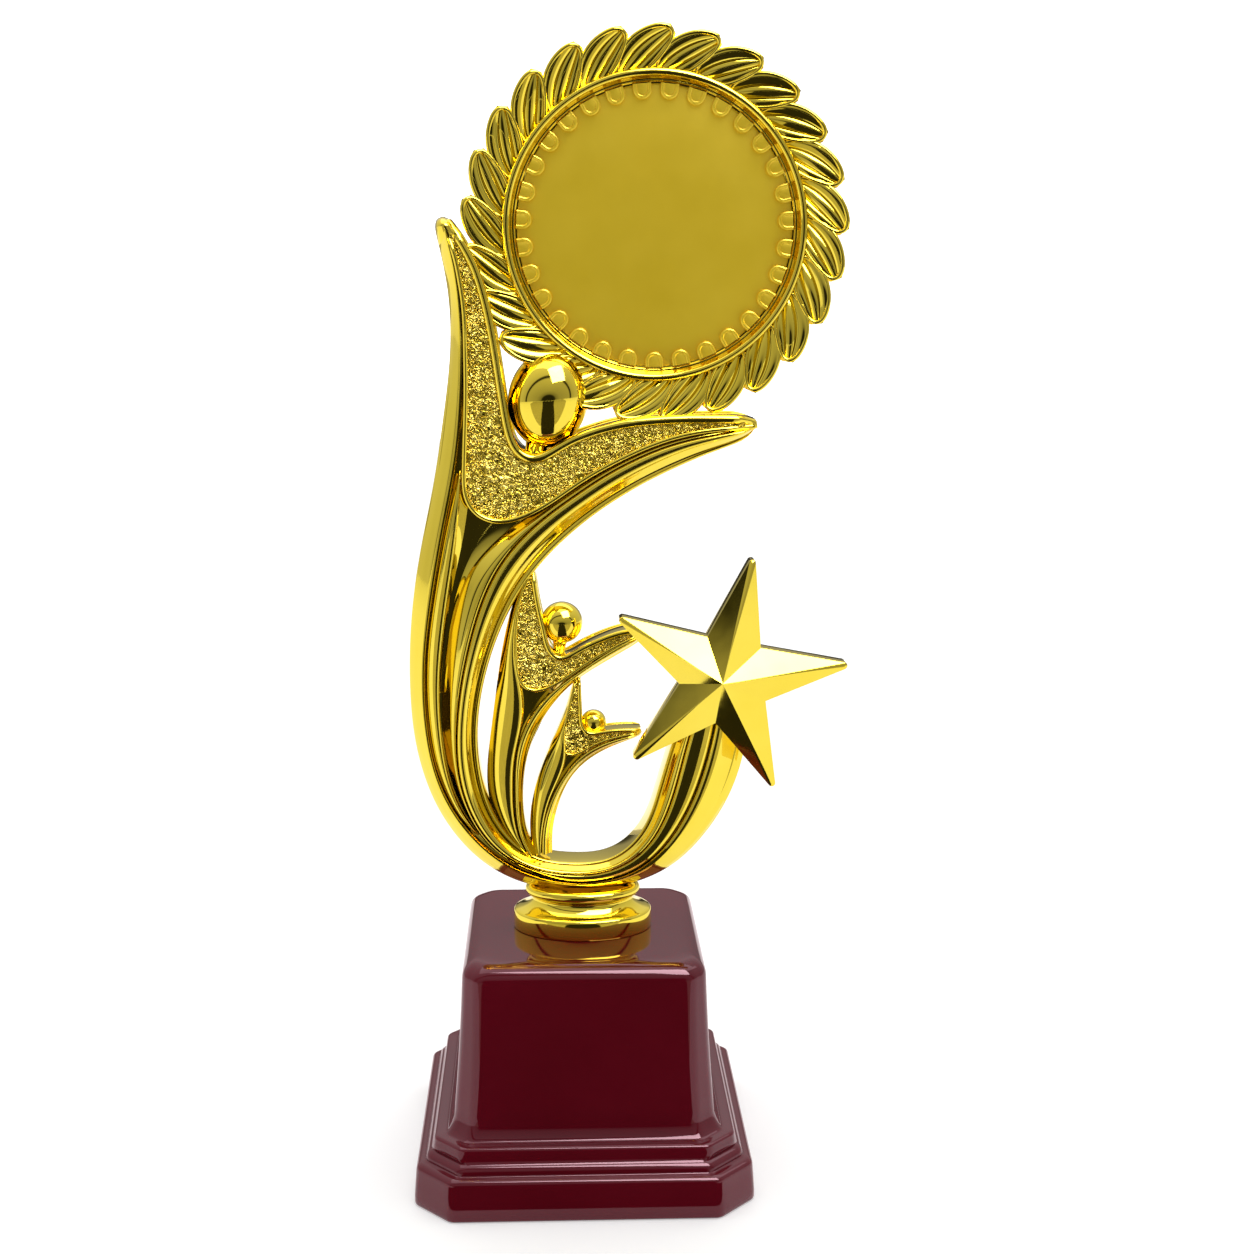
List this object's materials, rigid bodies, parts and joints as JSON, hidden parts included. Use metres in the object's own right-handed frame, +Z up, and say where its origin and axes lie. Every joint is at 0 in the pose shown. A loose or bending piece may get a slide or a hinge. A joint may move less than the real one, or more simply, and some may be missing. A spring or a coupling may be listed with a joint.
{
  "type": "star trophy",
  "caption": "Gilt trophy topper of stylised figures with raised arms, a laurel medallion and a faceted star, on a stepped square plinth.",
  "frame": {"origin": "centre of the underside of the plinth", "axes": "+Z up, the front with the star faces -Y, +X to the viewer's right"},
  "size_m": [0.1117, 0.087, 0.292],
  "materials": {
    "gilt_bright": "bright gold vacuum-metallised plastic, mirror gloss",
    "gilt_stippled": "gold metallised, crinkle stipple",
    "gilt_satin": "gold metallised, satin",
    "plinth_plastic": "glossy maroon moulding",
    "plate_plastic": "matte black",
    "ballast_iron": "as cast",
    "zinc_steel": "zinc plated"
  },
  "bodies": {
    "base": {"base_shell": "plinth_plastic", "base_bottom_plate": "plate_plastic", "base_screws": "zinc_steel", "base_weight": "ballast_iron"},
    "topper": {"collar": "gilt_bright", "collar_nut": "zinc_steel", "threaded_stud": "zinc_steel", "stud_washer": "zinc_steel", "stud_nut": "zinc_steel", "figure_front_shell": "gilt_bright", "figure_back_shell": "gilt_bright", "large_chest_panel_front": "gilt_stippled", "large_chest_panel_back": "gilt_stippled", "middle_figure_front": "gilt_bright", "middle_figure_back": "gilt_bright", "middle_chest_panel_front": "gilt_stippled", "middle_chest_panel_back": "gilt_stippled", "small_figure_front": "gilt_bright", "small_figure_back": "gilt_bright", "small_chest_panel_front": "gilt_stippled", "small_chest_panel_back": "gilt_stippled", "head_large": "gilt_bright", "head_middle": "gilt_bright", "head_small": "gilt_bright", "head_pegs": "gilt_bright", "wreath_front": "gilt_bright", "wreath_back": "gilt_bright", "medallion_disc_front": "gilt_satin", "medallion_disc_back": "gilt_satin", "star_front": "gilt_bright", "star_back": "gilt_bright", "star_pegs": "gilt_bright"}
  },
  "joints": [
    {"name": "topper_turn", "type": "hinge", "parent": "base", "child": "topper", "pos_m": [0, 0, 0.062], "axis": [0, 0, 1], "continuous": true}
  ]
}
